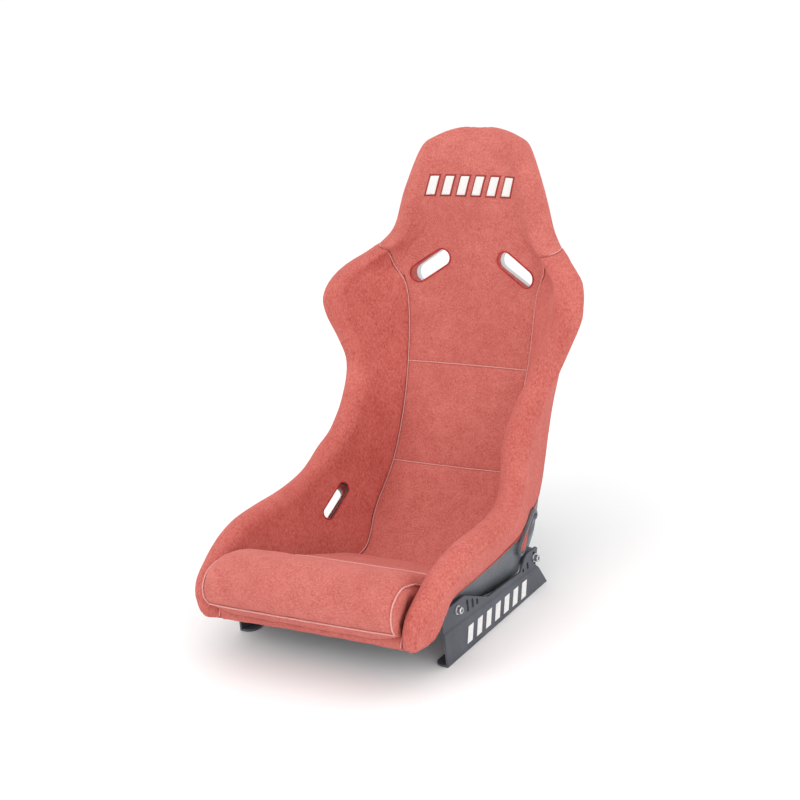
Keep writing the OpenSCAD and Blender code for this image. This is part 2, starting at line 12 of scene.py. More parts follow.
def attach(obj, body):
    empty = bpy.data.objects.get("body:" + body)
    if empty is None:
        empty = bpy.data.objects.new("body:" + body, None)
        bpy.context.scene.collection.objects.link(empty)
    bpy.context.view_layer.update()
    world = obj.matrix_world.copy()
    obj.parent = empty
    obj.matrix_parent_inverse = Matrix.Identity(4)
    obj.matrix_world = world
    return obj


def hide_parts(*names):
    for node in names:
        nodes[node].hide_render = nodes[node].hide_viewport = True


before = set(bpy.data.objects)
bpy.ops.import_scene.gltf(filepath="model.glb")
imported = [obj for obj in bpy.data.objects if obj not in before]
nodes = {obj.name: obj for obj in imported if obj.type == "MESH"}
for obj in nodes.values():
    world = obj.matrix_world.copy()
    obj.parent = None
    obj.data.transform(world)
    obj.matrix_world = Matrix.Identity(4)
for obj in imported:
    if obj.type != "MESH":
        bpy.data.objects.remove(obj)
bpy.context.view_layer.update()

# ---------------------------------------------------------------- the seat's surfaces, in millimetres
# One row per section, from the front lip up to the top of the head. In each: y and z of the shell's inner
# face at the centre, lean in degrees, the cover's crest (height, half width, radius), half widths of the
# panel seam and of the shell's knee, pad thickness, wrap over the shell's rim, and dish of the panel.
STATIONS = np.array([
    [-272, 69, 8, 9, 219, 11, 195, 201, 6, 22, 5.5],
    [-268, 92, 35, 22, 223, 15, 197, 201, 6, 30, 5.5],
    [-242, 99, 78, 44, 230, 21, 196, 201, 5, 42, 5.5],
    [-150, 80, 94, 102, 234, 25, 190, 201, 5, 40, 5.5],
    [10, 42, 93, 143, 231, 25, 168, 205, 6, 26, 5],
    [120, 26, 79, 177, 222, 25, 140, 208, 16, 31, 4],
    [212, 78, 65, 173, 209, 26, 156, 206, 22, 46, 5],
    [275, 168, 47, 138, 195, 27, 136, 197, 24, 73, 4],
    [335, 275, 26, 110, 194, 27, 131, 194, 24, 48, 4],
    [388, 380, 6, 99, 211, 27, 138, 196, 23, 31, 6],
    [425, 480, 1, 122, 256, 27, 144, 198, 20, 27, 15],
    [436, 522, -1, 121, 261, 27, 152, 194, 19, 25, 20],
    [443, 556, -2, 95, 245, 27, 158, 186, 20, 26, 20],
    [450, 590, -2, 55, 193, 27, 142, 162, 22, 26, 13],
    [455, 625, 0, 28, 153, 26, 110, 130, 24, 20, 5],
    [463, 705, 0, 16, 127, 25, 88, 105, 25, 16, 3],
    [480, 777, 6, 10, 98, 22, 62, 76, 22, 14, 2],
    [489, 797, 12, 7, 75, 18, 46, 57, 18, 10, 1.5],
    [496, 810, 20, 4, 44, 12, 26, 32, 11, 6, 1],
    [500, 816, 28, 1, 14, 5, 6, 9, 4, 3, 0],
])
LAST = len(STATIONS) - 1
LIP_END, PAN_SEAM, LOWER_SEAM, UPPER_SEAM, NOTCH = 1.2, 4.65, 7.0, 8.83, 12.85
SHELL_START, SHELL_END = 0.25, 17.8
FACE_FROM, RIM_FROM, WRAP_FROM = 0.30, 0.58, 0.86   # where a section's face, rim and wrap begin
RIM_SEAM_V = 0.80                                   # where the rim's seam runs in a section
FLOOR_SHARE = 0.4                                   # the share of a shell section that is its flat floor
SHELL_T, GAP, KNEE_MAX = 4.0, 0.3, 36.0
FACE_HOLLOW = 0.16
WRAP_SINK, WRAP_STAND = 0.022, 3                    # where the cover's wrap ends outside the shell
NOSE_Y, NOSE_Z = -239.0, 73.0                       # the corner that the bolsters' front ends hang down to
NOSE_OUT = 10
OUTSIDE_GAP = 0.9


def row_at(s):
    """The section at station s, on a smooth curve through the rows above."""
    i = int(min(max(math.floor(s), 0), LAST - 1))
    t = s - i
    p = STATIONS
    b, c = p[i], p[i + 1]
    a = p[i - 1] if i > 0 else 2 * b - c
    d = p[i + 2] if i + 2 <= LAST else 2 * c - b
    square, cube = 2 * a - 5 * b + 4 * c - d, 3 * b - a - 3 * c + d
    return 0.5 * (2 * b + (c - a) * t + square * t ** 2 + cube * t ** 3)


def stand(r, p):
    """Section points (across, above the floor) in mm to points in metres."""
    p = np.atleast_2d(p)
    lean = math.radians(r[2])
    return np.stack([p[:, 0], r[0] - math.cos(lean) * p[:, 1], r[1] + math.sin(lean) * p[:, 1]], -1) * 0.001


def seam_point(r):
    """Where the centre panel meets the bolster."""
    return np.array([r[6], r[8] + r[10]])


def on_crest(r, angle):
    """A point on the round crest of a bolster."""
    angle = np.asarray(angle)
    return np.stack([r[4] + r[5] * np.cos(angle), r[3] + r[5] * np.sin(angle)], -1)


def face_angle(r):
    """Where on the crest the face coming up from the seam touches it."""
    d = np.array([r[4], r[3]]) - seam_point(r)
    run = math.hypot(*d)
    return math.atan2(d[1], d[0]) + math.asin(min(r[5], 0.95 * run) / run) + math.pi / 2


def ramp(t):
    """0 up to t 0, 1 from t 1, and smooth between."""
    t = min(max(t, 0), 1)
    return t * t * (3 - 2 * t)


def nose(r):
    """1 at the front ends of the bolsters, where the cover hangs wide of the shell, and 0 behind them."""
    return ramp((-130 - r[0]) / 90)


def rim_end_angle(r):
    """Where the cover leaves the crest on its outside, further round on a low crest."""
    return math.radians(-10 - 65 * min(max((70 - r[3]) / 50, 0), 1) * (1 - nose(r)))


def knee(r):
    return min(KNEE_MAX, 0.9 * (r[7] - r[6]))


def shell_line(r, q):
    """The shell's section from its centre (q 0) over the knee to its upper edge (q 1)."""
    q = np.asarray(q, float)[..., None]
    foot, edge = np.array([r[7] - knee(r), 0]), np.array([r[4] + 0.5 * r[5], r[3]])
    b, c = np.array([r[7] + 4, 0]), np.array([r[7] + 0.3 * (edge[0] - r[7]), 0.35 * edge[1]])
    t = (q - FLOOR_SHARE) / (1 - FLOOR_SHARE)
    side = (1 - t) ** 3 * foot + 3 * t * (1 - t) ** 2 * b + 3 * t * t * (1 - t) * c + t ** 3 * edge
    return np.where(q <= FLOOR_SHARE, foot * q / FLOOR_SHARE, side)


def shell_point(r, q, offset):
    """A point that far outside the shell's section."""
    q = np.asarray(q, float)
    top = np.minimum(q + 0.01, 1)
    d = shell_line(r, top) - shell_line(r, top - 0.02)
    d = d / np.linalg.norm(d, axis=-1, keepdims=True)
    return shell_line(r, q) + offset * np.stack([d[..., 1], -d[..., 0]], -1)


def wrap_share(r):
    """The q at which the cover's wrap ends."""
    run = math.hypot(r[4] + 0.5 * r[5] - r[7] + knee(r), r[3])
    return 1 - (1 - FLOOR_SHARE) * min(0.8, r[9] / run)


def cover_line(r, v):
    """The cover's section from the centre (v 0) over the rim to the end of its wrap (v 1)."""
    v = np.asarray(v, float)
    seam, a, e = seam_point(r), face_angle(r), rim_end_angle(r)
    top = on_crest(r, a)
    centre = np.stack([r[6] * v / FACE_FROM, r[8] + r[10] * (v / FACE_FROM) ** 2], -1)
    t = ((v - FACE_FROM) / (RIM_FROM - FACE_FROM))[:, None]
    hollow = FACE_HOLLOW * np.linalg.norm(top - seam)
    face = seam + (top - seam) * t - hollow * t * (1 - t) * np.array([math.cos(a), math.sin(a)])
    rim = on_crest(r, a + (e - a) * (v - RIM_FROM) / (WRAP_FROM - RIM_FROM))
    end = shell_point(r, wrap_share(r) - WRAP_SINK, SHELL_T + WRAP_STAND)
    lean = math.radians(r[2])
    under = (NOSE_Y - r[0]) * -math.cos(lean) + (NOSE_Z - r[1]) * math.sin(lean)
    end = end + [nose(r) * (r[4] + NOSE_OUT - end[0]), ramp((-190 - r[0]) / 50) * (under - end[1])]
    t = ((v - WRAP_FROM) / (1 - WRAP_FROM))[:, None]
    wrap = on_crest(r, e) + (end - on_crest(r, e)) * t
    pick = v[:, None]
    outer = np.where(pick <= RIM_FROM, face, np.where(pick <= WRAP_FROM, rim, wrap))
    return np.where(pick <= FACE_FROM, centre, outer)


def both_sides(r, v):
    """The cover's section on both sides of the centre: v below 0 is on the right."""
    return cover_line(r, np.abs(v)) * np.stack([np.where(v < 0, -1, 1), np.ones(len(v))], -1)


def on_cover(s, v, side):
    """One point of the cover in metres: at station s, at v in the section, on that side."""
    r = row_at(s)
    return stand(r, cover_line(r, [v])[0] * [side, 1])[0]


def behind_line(r, s):
    """What a bolster stands on: the shell's inside, its edge and its outside down to the wrap's end."""
    if s < SHELL_START or s > SHELL_END:
        end = shell_point(r, wrap_share(r), SHELL_T + GAP)
        low = -SHELL_T if s < SHELL_START else 0.0
        return np.array([[r[6], low], end])
    inside = shell_point(r, np.linspace(FLOOR_SHARE, 1, 24), -GAP)
    outside = shell_point(r, np.linspace(1, wrap_share(r), 12), SHELL_T + GAP + OUTSIDE_GAP)
    over = 1.2 * np.array([0.3, 1.0])   # clears the shell's rounded edge
    inside[-1] += over
    outside[0] += over
    return np.concatenate([[[r[6], GAP]], inside, outside])


def along(points, distances):
    """The points at those distances along a polyline; with None, each corner's own distance."""
    run = np.concatenate([[0], np.cumsum(np.linalg.norm(np.diff(points, axis=0), axis=1))])
    if distances is None:
        return run
    return np.stack([np.interp(distances, run, points[:, k]) for k in range(points.shape[1])], -1)


# The neck seam leaves the panel seam low down and climbs outwards to the notch in the rim.
NECK_V = np.array([0.30, 0.33, 0.38, 0.46, 0.55, 0.65, 0.80, 1.0])
NECK_S = np.array([-1.60, -1.10, -0.43, -0.15, 0.10, 0.35, 0.50, 0.60])
NECK_IN = NOTCH + NECK_S[0]
SLIDE_V = np.linspace(0.3, 1.0, 141)
SLIDE = np.interp(SLIDE_V, NECK_V, NECK_S)
for _ in range(70):
    SLIDE[1:-1] = 0.25 * SLIDE[:-2] + 0.5 * SLIDE[1:-1] + 0.25 * SLIDE[2:]
SLIDE_FROM, SLIDE_TO = 9.4, 15.6


def slide(s, v):
    """How far a row slides along the seat at v, so that rows run along the neck seam beside it."""
    t = (s - SLIDE_FROM) / (NOTCH - SLIDE_FROM) if s <= NOTCH else (SLIDE_TO - s) / (SLIDE_TO - NOTCH)
    return ramp(t) * np.interp(v, SLIDE_V, SLIDE)


# ---------------------------------------------------------------- mesh helpers
EDGE_STEPS = (0, 0.6, 1.4, 2.4, 3.6, 5.2, 7.5)   # rows beside a seam, in mm from it


def spaced(total, middle, at_start=True, at_end=True):
    """Distances from 0 to total, close together at the ends."""
    a = list(EDGE_STEPS) if at_start else [0.0]
    b = [total - e for e in reversed(EDGE_STEPS)] if at_end else [total]
    return np.array(a + list(np.linspace(a[-1], b[0], middle + 2)[1:-1]) + b)


CENTRE_S = np.linspace(0, LAST, 1200)
CENTRE_RUN = along(np.array([stand(row_at(s), [[0, 45]])[0] for s in CENTRE_S]) * 1000, None)


def stations_between(s0, s1, middle, at_start=True, at_end=True):
    """Station numbers from s0 to s1, close together at the ends."""
    a, b = np.interp([s0, s1], CENTRE_S, CENTRE_RUN)
    return np.interp(a + spaced(b - a, middle, at_start, at_end), CENTRE_RUN, CENTRE_S)


def link(name, mesh, body, mat):
    o = bpy.data.objects.new(name, mesh)
    bpy.context.scene.collection.objects.link(o)
    mesh.materials.clear()
    mesh.materials.append(mat)
    mesh.polygons.foreach_set("use_smooth", [True] * len(mesh.polygons))
    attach(o, body)
    return o


def mesh_of(name, verts, faces):
    mesh = bpy.data.meshes.new(name)
    mesh.from_pydata([tuple(map(float, v)) for v in verts], [], [tuple(map(int, f)) for f in faces])
    bm = bmesh.new()
    bm.from_mesh(mesh)
    bmesh.ops.remove_doubles(bm, verts=bm.verts, dist=1e-6)
    bmesh.ops.dissolve_degenerate(bm, dist=1e-7, edges=bm.edges)
    bmesh.ops.recalc_face_normals(bm, faces=bm.faces)
    bm.to_mesh(mesh)
    bm.free()
    mesh.update()
    return mesh


def tree_of_mesh(mesh):
    bm = bmesh.new()
    bm.from_mesh(mesh)
    tree = BVHTree.FromBMesh(bm)
    bm.free()
    return tree


def ring_faces(rings, sides, closed):
    """Faces between rings of points that follow one another."""
    faces = []
    for i in range(rings if closed else rings - 1):
        a, b = i * sides, ((i + 1) % rings) * sides
        faces += [(a + k, a + (k + 1) % sides, b + (k + 1) % sides, b + k) for k in range(sides)]
    return faces


def grid_faces(rows, cols, start=0):
    i, j = np.meshgrid(np.arange(rows - 1), np.arange(cols - 1), indexing="ij")
    a = (start + i * cols + j).ravel()
    return np.stack([a, a + 1, a + cols + 1, a + cols], -1)


def solid_faces(rows, cols):
    """A closed solid between two grids of the same size."""
    n = rows * cols
    faces = [grid_faces(rows, cols), grid_faces(rows, cols, n)[:, ::-1]]
    rim = [i * cols for i in range(rows)] + [(rows - 1) * cols + j for j in range(1, cols)]
    rim += [i * cols + cols - 1 for i in range(rows - 2, -1, -1)] + [j for j in range(cols - 2, 0, -1)]
    rim = np.array(rim)
    nxt = np.roll(rim, -1)
    faces.append(np.stack([rim, nxt, nxt + n, rim + n], -1))
    return np.concatenate(faces)


def normals_of(grid, flip=False):
    du = np.gradient(grid, axis=1)
    dv = np.gradient(grid, axis=0)
    n = np.cross(du, dv)
    n /= np.maximum(np.linalg.norm(n, axis=-1, keepdims=True), 1e-12)
    return -n if flip else n


def tube(name, points, radius, body, mat, closed=False):
    """A round bead along a polyline in metres."""
    p = np.asarray(points, float)
    n, sides = len(p), 8
    nxt, prv = np.roll(p, -1, 0), np.roll(p, 1, 0)
    if not closed:
        nxt[-1], prv[0] = p[-1] + (p[-1] - p[-2]), p[0] - (p[1] - p[0])
    t = nxt - prv
    t /= np.maximum(np.linalg.norm(t, axis=1, keepdims=True), 1e-12)
    askew = np.array([0.31, -0.52, 0.79])   # along no seam
    side = np.cross(t[0], askew)
    side /= np.linalg.norm(side)
    rings = []
    for k in range(n):
        side = side - t[k] * (side @ t[k])
        side /= np.linalg.norm(side)
        other = np.cross(t[k], side)
        a = np.linspace(0, 2 * math.pi, sides, endpoint=False)
        rings.append(p[k] + radius * (np.cos(a)[:, None] * side + np.sin(a)[:, None] * other))
    verts = np.concatenate(rings)
    faces = ring_faces(n, sides, closed)
    if not closed:
        faces += [tuple(range(sides - 1, -1, -1)), tuple((n - 1) * sides + k for k in range(sides))]
    return link(name, mesh_of(name, verts, faces), body, mat)


def smooth_line(points, times=6):
    p = np.asarray(points, float).copy()
    for _ in range(times):
        p[1:-1] = 0.25 * p[:-2] + 0.5 * p[1:-1] + 0.25 * p[2:]
    return p


def resample(points, step):
    p = np.asarray(points, float)
    run = along(p, None)
    return along(p, np.linspace(0, run[-1], max(int(run[-1] / step), 2) + 1))


def ripple(points, scale, seed):
    """Smooth noise between about -1 and 1, the same for the same seed."""
    return np.array([noise.noise(Vector(q) * scale + Vector((seed, seed * 0.7, -seed))) for q in points])


# ---------------------------------------------------------------- materials
def linear(c):
    return (c / 255 / 12.92) if c / 255 <= 0.04045 else ((c / 255 + 0.055) / 1.055) ** 2.4


def srgb(r, g, b):
    """A screen colour from 0 to 255 as the linear colour a shader takes."""
    return tuple(linear(c) for c in (r, g, b)) + (1.0,)


def grey(v):
    return (v, v, v, 1.0)


class Nodes:
    """A small helper that builds one material's node tree."""

    def __init__(self, name):
        self.mat = bpy.data.materials.new(name)
        self.mat.use_nodes = True
        self.tree = self.mat.node_tree
        self.tree.nodes.clear()
        self.out = self.add("ShaderNodeOutputMaterial")
        self.bsdf = self.add("ShaderNodeBsdfPrincipled")
        self.join(self.bsdf, "BSDF", self.out, "Surface")
        self.where = self.add("ShaderNodeTexCoord")

    def add(self, kind, **settings):
        n = self.tree.nodes.new(kind)
        for k, v in settings.items():
            setattr(n, k, v)
        return n

    def join(self, a, out, b, into):
        self.tree.links.new(a.outputs[out], b.inputs[into])

    def set(self, **values):
        for k, v in values.items():
            self.bsdf.inputs[k.replace("_", " ")].default_value = v

    def noise(self, scale, detail=2.0, rough=0.5, stretch=None, distortion=0.0):
        n = self.add("ShaderNodeTexNoise")
        n.inputs["Scale"].default_value = scale
        n.inputs["Detail"].default_value = detail
        n.inputs["Roughness"].default_value = rough
        n.inputs["Distortion"].default_value = distortion
        if stretch:
            m = self.add("ShaderNodeMapping")
            m.inputs["Scale"].default_value = stretch
            self.join(self.where, "Object", m, "Vector")
            self.join(m, "Vector", n, "Vector")
        else:
            self.join(self.where, "Object", n, "Vector")
        return n

    def ramp(self, source, out, stops):
        n = self.add("ShaderNodeValToRGB")
        while len(n.color_ramp.elements) < len(stops):
            n.color_ramp.elements.new(0.5)
        for e, (at, colour) in zip(n.color_ramp.elements, stops):
            e.position = at
            e.color = colour
        self.join(source, out, n, "Fac")
        return n

    def mask(self, source, low, high, top=1.0, bottom=0.0):
        """How much to mix in, from a noise: bottom where it is under low, top where it is over high."""
        return self.ramp(source, "Fac", [(low, grey(bottom)), (high, grey(top))]), "Color"

    def mix(self, a, b, fac, blend="MIX"):
        """a and b are (node, output) or colours; fac is a number or (node, output)."""
        n = self.add("ShaderNodeMix", data_type="RGBA", blend_type=blend)
        for value, socket in ((fac, n.inputs[0]), (a, n.inputs[6]), (b, n.inputs[7])):
            if isinstance(value, tuple) and hasattr(value[0], "outputs"):
                self.tree.links.new(value[0].outputs[value[1]], socket)
            else:
                socket.default_value = value
        return (n, 2)

    def colour(self, pair):
        self.tree.links.new(pair[0].outputs[pair[1]], self.bsdf.inputs["Base Color"])

    def rough(self, source, out, low, high):
        n = self.add("ShaderNodeMapRange")
        n.inputs["To Min"].default_value = low
        n.inputs["To Max"].default_value = high
        self.join(source, out, n, "Value")
        self.join(n, "Result", self.bsdf, "Roughness")

    def bump(self, layers):
        """layers: (node, output, strength, distance in metres), one on top of the other."""
        last = None
        for source, out, strength, distance in layers:
            n = self.add("ShaderNodeBump")
            n.inputs["Strength"].default_value = strength
            n.inputs["Distance"].default_value = distance
            self.join(source, out, n, "Height")
            if last:
                self.join(last, "Normal", n, "Normal")
            last = n
        self.join(last, "Normal", self.bsdf, "Normal")


def velour(name, lit, deep, nap=(1.0, 1.0, 1.0)):
    """Brushed velour between two colours, with patches where the pile lies another way."""
    m = Nodes(name)
    broad = m.noise(7.0, 3.0, 0.55)
    patch = m.noise(38.0, 4.0, 0.6, nap, 0.4)
    grain = m.noise(330.0, 3.0, 0.65, nap)
    pile = m.noise(1500.0, 2.0, 0.6)
    brushed = [min(255, c * 1.05 + 4) for c in lit]
    shaded, rubbed = [c * 0.93 for c in deep], [c * 0.88 for c in deep]
    base = m.mix(srgb(*deep), srgb(*lit), m.mask(grain, 0.32, 0.66))
    base = m.mix(base, srgb(*brushed), m.mask(patch, 0.42, 0.72, 0.35))
    base = m.mix(base, srgb(*shaded), m.mask(broad, 0.40, 0.62, 0.0, 0.22))
    fleck = m.ramp(pile, "Fac", [(0.30, grey(0.66)), (0.60, grey(1.0))])
    base = m.mix(base, (fleck, "Color"), 0.55, "MULTIPLY")
    worn = m.add("ShaderNodeAttribute", attribute_name="worn")
    base = m.mix(base, srgb(*rubbed), (worn, "Fac"))
    m.colour(base)
    m.rough(patch, "Fac", 0.80, 0.97)
    m.bump([(pile, "Fac", 0.35, 0.0004), (grain, "Fac", 0.45, 0.0010), (patch, "Fac", 0.30, 0.0016)])
    m.set(Sheen_Weight=0.28, Sheen_Roughness=0.6, Sheen_Tint=srgb(236, 160, 150), Specular_IOR_Level=0.12)
    return m.mat


VELOUR = velour("velour", (213, 128, 118), (186, 84, 76))
VELOUR_SIDE = velour("velour_side", (212, 123, 113), (184, 79, 71), (1.0, 0.7, 0.5))
VELOUR_CUSHION = velour("velour_cushion", (213, 129, 120), (187, 86, 78), (0.8, 1.0, 1.0))


def piping_material():
    m = Nodes("seam_piping")
    thread = m.noise(900.0, 2.0, 0.5, (1.0, 1.0, 0.4))
    base = m.ramp(thread, "Fac", [(0.35, srgb(206, 132, 124)), (0.65, srgb(232, 174, 166))])
    m.colour((base, "Color"))
    m.rough(thread, "Fac", 0.6, 0.85)
    m.bump([(thread, "Fac", 0.6, 0.0004)])
    m.set(Sheen_Weight=0.3, Sheen_Roughness=0.4)
    return m.mat


def edging_material():
    m = Nodes("edging")
    weave = m.add("ShaderNodeTexWave", bands_direction="DIAGONAL")
    weave.inputs["Scale"].default_value = 260.0
    weave.inputs["Distortion"].default_value = 1.2
    m.join(m.where, "Object", weave, "Vector")
    tone = m.noise(60.0, 3.0)
    base = m.mix(srgb(150, 26, 26), srgb(196, 44, 40), m.mask(tone, 0.35, 0.65))
    m.colour(base)
    m.rough(weave, "Fac", 0.5, 0.75)
    m.bump([(weave, "Fac", 0.4, 0.0003)])
    m.set(Sheen_Weight=0.25, Sheen_Roughness=0.4)
    return m.mat


def laminate_material():
    m = Nodes("laminate")
    speckle = m.noise(420.0, 3.0, 0.7)
    cloud = m.noise(9.0, 4.0, 0.6)
    pebble = m.add("ShaderNodeTexVoronoi")
    pebble.inputs["Scale"].default_value = 260.0
    m.join(m.where, "Object", pebble, "Vector")
    base = m.mix(srgb(84, 88, 94), srgb(112, 117, 123), m.mask(speckle, 0.35, 0.65))
    base = m.mix(base, srgb(74, 77, 83), m.mask(cloud, 0.42, 0.68, 0.4))
    m.colour(base)
    m.rough(cloud, "Fac", 0.38, 0.58)
    m.bump([(pebble, "Distance", 0.18, 0.0005), (speckle, "Fac", 0.15, 0.0004), (cloud, "Fac", 0.08, 0.002)])
    m.set(Specular_IOR_Level=0.45, Coat_Weight=0.12, Coat_Roughness=0.3)
    return m.mat


def powder_coat(name, low, high, gloss=(0.42, 0.6)):
    m = Nodes(name)
    orange = m.add("ShaderNodeTexVoronoi", feature="SMOOTH_F1")
    orange.inputs["Scale"].default_value = 700.0
    m.join(m.where, "Object", orange, "Vector")
    cloud = m.noise(14.0, 4.0, 0.6)
    dust = m.noise(520.0, 2.0, 0.7)
    base = m.mix(srgb(*low), srgb(*high), m.mask(cloud, 0.35, 0.7))
    base = m.mix(base, srgb(*[min(255, c + 26) for c in high]), m.mask(dust, 0.66, 0.8, 0.5))
    m.colour(base)
    m.rough(cloud, "Fac", *gloss)
    m.bump([(orange, "Distance", 0.25, 0.0003), (dust, "Fac", 0.1, 0.0003)])
    m.set(Specular_IOR_Level=0.5)
    return m.mat


def metal(name, low, high):
    m = Nodes(name)
    lathe = m.noise(900.0, 2.0, 0.6, (1.0, 0.15, 0.15))
    stain = m.noise(120.0, 4.0, 0.65)
    base = m.mix(srgb(*low), srgb(*high), m.mask(stain, 0.35, 0.65))
    m.colour(base)
    m.rough(stain, "Fac", 0.22, 0.42)
    m.bump([(lathe, "Fac", 0.12, 0.0002)])
    m.set(Metallic=1.0)
    return m.mat


def plain_grain(name, low, high, scale, rough=(0.5, 0.75), depth=0.0004, sheen=0.0):
    m = Nodes(name)
    fine = m.noise(scale, 3.0, 0.6)
    cloud = m.noise(scale / 18, 3.0, 0.6)
    base = m.mix(srgb(*low), srgb(*high), m.mask(fine, 0.35, 0.65))
    base = m.mix(base, srgb(*low), m.mask(cloud, 0.45, 0.7, 0.5))
    m.colour(base)
    m.rough(fine, "Fac", *rough)
    m.bump([(fine, "Fac", 0.4, depth)])
    m.set(Sheen_Weight=sheen)
    return m.mat


def embroidery_material():
    m = Nodes("emblem_thread")
    satin = m.add("ShaderNodeTexWave", bands_direction="Z")
    satin.inputs["Scale"].default_value = 320.0
    satin.inputs["Distortion"].default_value = 0.6
    m.join(m.where, "Object", satin, "Vector")
    fuzz = m.noise(900.0, 2.0, 0.6)
    base = m.mix(srgb(214, 212, 208), srgb(250, 249, 246), m.mask(satin, 0.2, 0.7))
    m.colour(base)
    m.rough(fuzz, "Fac", 0.45, 0.65)
    m.bump([(satin, "Fac", 0.45, 0.0004), (fuzz, "Fac", 0.2, 0.0002)])
    m.set(Sheen_Weight=0.2)
    return m.mat


PIPING, EDGING, LAMINATE = piping_material(), edging_material(), laminate_material()
BRACKET = powder_coat("bracket_coat", (66, 69, 77), (86, 89, 98))
TRIM = powder_coat("trim_plastic", (92, 96, 102), (116, 120, 126), (0.35, 0.5))
LINER = powder_coat("liner_plastic", (214, 218, 221), (232, 235, 238), (0.35, 0.5))
PAINT = plain_grain("stripe_paint", (222, 222, 220), (246, 246, 244), 500.0, (0.35, 0.55), 0.0001)
ZINC = metal("zinc_plate", (176, 178, 182), (222, 224, 228))
BRASS = metal("insert_metal", (92, 90, 84), (122, 118, 110))
RUBBER = plain_grain("spacer_plastic", (34, 35, 38), (58, 59, 62), 420.0)
TAPE = plain_grain("tape_black", (16, 16, 17), (40, 40, 42), 1100.0, (0.7, 0.9), 0.001, 0.3)
COLLAR = plain_grain("collar_felt", (22, 21, 23), (48, 46, 48), 600.0, (0.7, 0.9), 0.0006, 0.3)
EMBLEM = embroidery_material()
DARK_RED = plain_grain("emblem_border", (128, 22, 20), (168, 44, 38), 900.0, (0.6, 0.8), 0.0004, 0.3)

CAD_LOOKS = {
    "shell": LAMINATE, "cover_edging": EDGING, "hook_strips": TAPE, "loop_strips": TAPE,
    "shoulder_trim": LINER, "lap_bezel": TRIM, "lap_collar": COLLAR, "threaded_inserts": BRASS,
    "front_spacers": RUBBER, "rear_spacers": RUBBER, "bracket_stripes": PAINT, "bracket": BRACKET,
    "front_bolts": ZINC, "rear_bolts": ZINC, "front_washers": ZINC, "rear_washers": ZINC,
}
for name, o in nodes.items():
    stem = name.replace("_left", "").replace("_right", "")
    if stem not in CAD_LOOKS:
        continue
    for k in range(max(len(o.material_slots), 1)):
        if o.material_slots:
            o.material_slots[k].material = CAD_LOOKS[stem]
        else:
            o.data.materials.append(CAD_LOOKS[stem])
    weld = o.modifiers.new("weld", "WELD")
    weld.merge_threshold = 2e-5
    o.data.polygons.foreach_set("use_smooth", [True] * len(o.data.polygons))
    split = o.modifiers.new("crisp", "EDGE_SPLIT")
    split.split_angle = math.radians(34)

# ---------------------------------------------------------------- seam lines, in metres
SIDES = {"left": 1, "right": -1}


def seam_line(s0, s1, v, side, step=0.02):
    return np.array([on_cover(s, v, side) for s in np.arange(s0, s1 + 1e-6, step)])


def cross_line(s, v0, v1, count=120):
    r = row_at(s)
    return stand(r, both_sides(r, np.linspace(v0, v1, count)))


def neck_line(side):
    return np.array([on_cover(NOTCH + slide(NOTCH, v), v, side) for v in np.linspace(FACE_FROM, 1.0, 160)])


SEAMS = {"panel_" + k: seam_line(0.32, NECK_IN, FACE_FROM, s) for k, s in SIDES.items()}
SEAMS.update({"neck_" + k: neck_line(s) for k, s in SIDES.items()})
SEAMS["lower_cross"] = cross_line(LOWER_SEAM, -FACE_FROM, FACE_FROM)
SEAMS["upper_cross"] = cross_line(UPPER_SEAM, -FACE_FROM, FACE_FROM)
SEAMS.update({"rim_" + k: seam_line(0.4, NOTCH, RIM_SEAM_V, s) for k, s in SIDES.items()})


def tree_of_lines(lines):
    points = np.concatenate([resample(l, 0.0015) for l in lines])
    tree = KDTree(len(points))
    for i, p in enumerate(points):
        tree.insert(Vector(p), i)
    tree.balance()
    return tree


def distances(tree, points):
    """How far each point is from the nearest point of the tree, in mm."""
    return np.array([tree.find(Vector(p))[2] for p in points]) * 1000


MAIN_SEAMS = tree_of_lines([v for k, v in SEAMS.items() if not k.startswith("rim_")])
RIM_SEAMS = tree_of_lines([v for k, v in SEAMS.items() if k.startswith("rim_")])
FRONT_END = tree_of_lines([cross_line(0.0, -1.0, 1.0, 400)])
FRONT_END_Y = -0.27   # a cover that starts forward of this has the front end


def rolled(d, radius):
    """How far a rounded edge of that radius drops at distance d from it."""
    x = np.clip(radius - d, 0, radius)
    return radius - np.sqrt(np.maximum(radius ** 2 - x ** 2, 0))


EDGE_ROLL, END_ROLL = 4.0, 12.0   # radii that a cover rolls in with, at its seams and at its front end


def seam_drop(d):
    """How far the cover lies below its own surface at distance d from a seam."""
    return rolled(d, EDGE_ROLL) + 1.1 * np.exp(-(d / 9.0) ** 2)


def crowned(d, height):
    return height * np.clip(d / 60.0, 0, 1) ** 0.7


def shape_cover(grid, flip, crown, seed):
    """Pulls a cover in along its seams, crowns it between them and adds the fabric's slow ripple."""
    n = normals_of(grid, flip)
    flat = grid.reshape(-1, 3)
    d = distances(MAIN_SEAMS, flat)
    rim = distances(RIM_SEAMS, flat)
    drop = seam_drop(d) + 0.7 * np.exp(-(rim / 1.6) ** 2) + 0.5 * np.exp(-(rim / 6.0) ** 2)
    if grid[0, :, 1].min() < FRONT_END_Y:
        drop = drop + rolled(distances(FRONT_END, flat), END_ROLL)
    rise = crowned(d, crown)
    pucker = 0.35 * ripple(flat, 90.0, seed) * np.exp(-(d / 16.0) ** 2) * 2
    slow = 0.55 * ripple(flat, 24.0, seed + 5) * np.clip(d / 20.0, 0, 1)
    return grid + n * ((rise + pucker + slow - drop) * 0.001).reshape(grid.shape[:2] + (1,))


def worn_layer(o, values):
    a = o.data.attributes.get("worn") or o.data.attributes.new("worn", "FLOAT", "POINT")
    a.data.foreach_set("value", np.asarray(values, np.float32))


